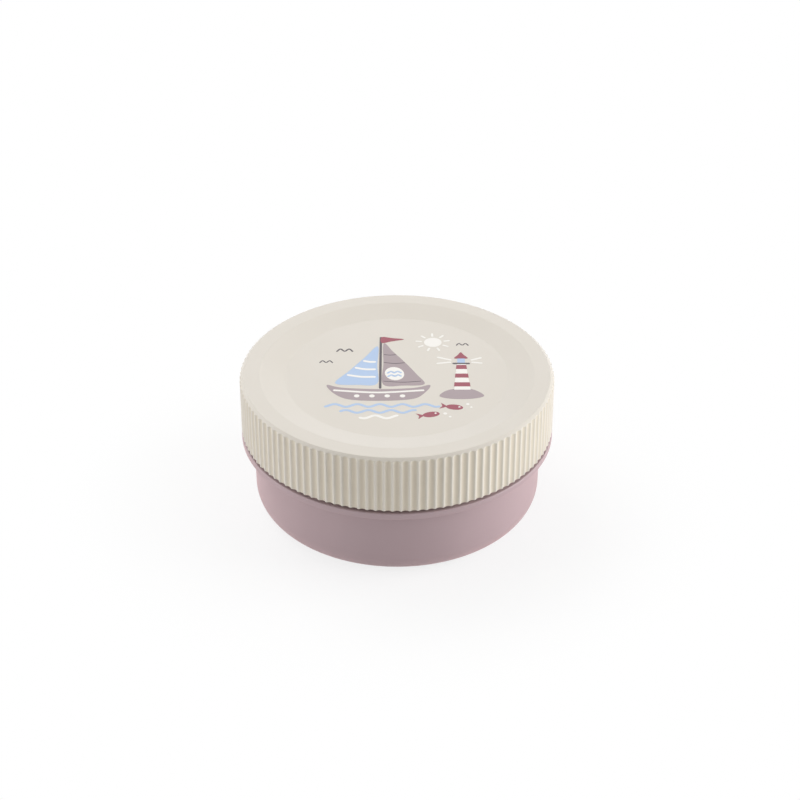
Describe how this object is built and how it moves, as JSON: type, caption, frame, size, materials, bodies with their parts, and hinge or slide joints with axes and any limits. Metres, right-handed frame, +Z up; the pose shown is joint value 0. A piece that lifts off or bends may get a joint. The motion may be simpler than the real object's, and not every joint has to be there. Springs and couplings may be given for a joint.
{
  "type": "screw-lid snack container",
  "caption": "Round plastic snack bowl with a stop flange under a fluted screw lid; the lid's top is dished, and a soft ring seals the rim.",
  "frame": {"origin": "centre of the bowl's foot, on the surface the container stands on", "axes": "+Z up along the axis of the bowl and the thread; -Y is the front, from which the picture on the lid is seen upright"},
  "size_m": [0.115, 0.115, 0.0536],
  "materials": {
    "bowl_plastic": "moulded polypropylene, mauve pink, satin",
    "lid_plastic": "moulded polypropylene, cream, satin, with a printed picture in the dish",
    "seal_silicone": "milky white silicone, matte"
  },
  "bodies": {
    "bowl": {"bowl": "bowl_plastic"},
    "seal": {"seal_ring": "seal_silicone"},
    "lid": {"screw_lid": "lid_plastic"}
  },
  "joints": [
    {"name": "lid_rise", "type": "slide", "parent": "bowl", "child": "seal", "axis": [0, 0, 1], "range_m": [0, 0.024]},
    {"name": "lid_turn", "type": "hinge", "parent": "seal", "child": "lid", "pos_m": [0, 0, 0.0517], "axis": [0, 0, 1], "range_deg": [0, 360]}
  ],
  "couplings": [
    {"joint": "lid_rise", "follows": "lid_turn", "m_per_rad": 0.0038197}
  ]
}
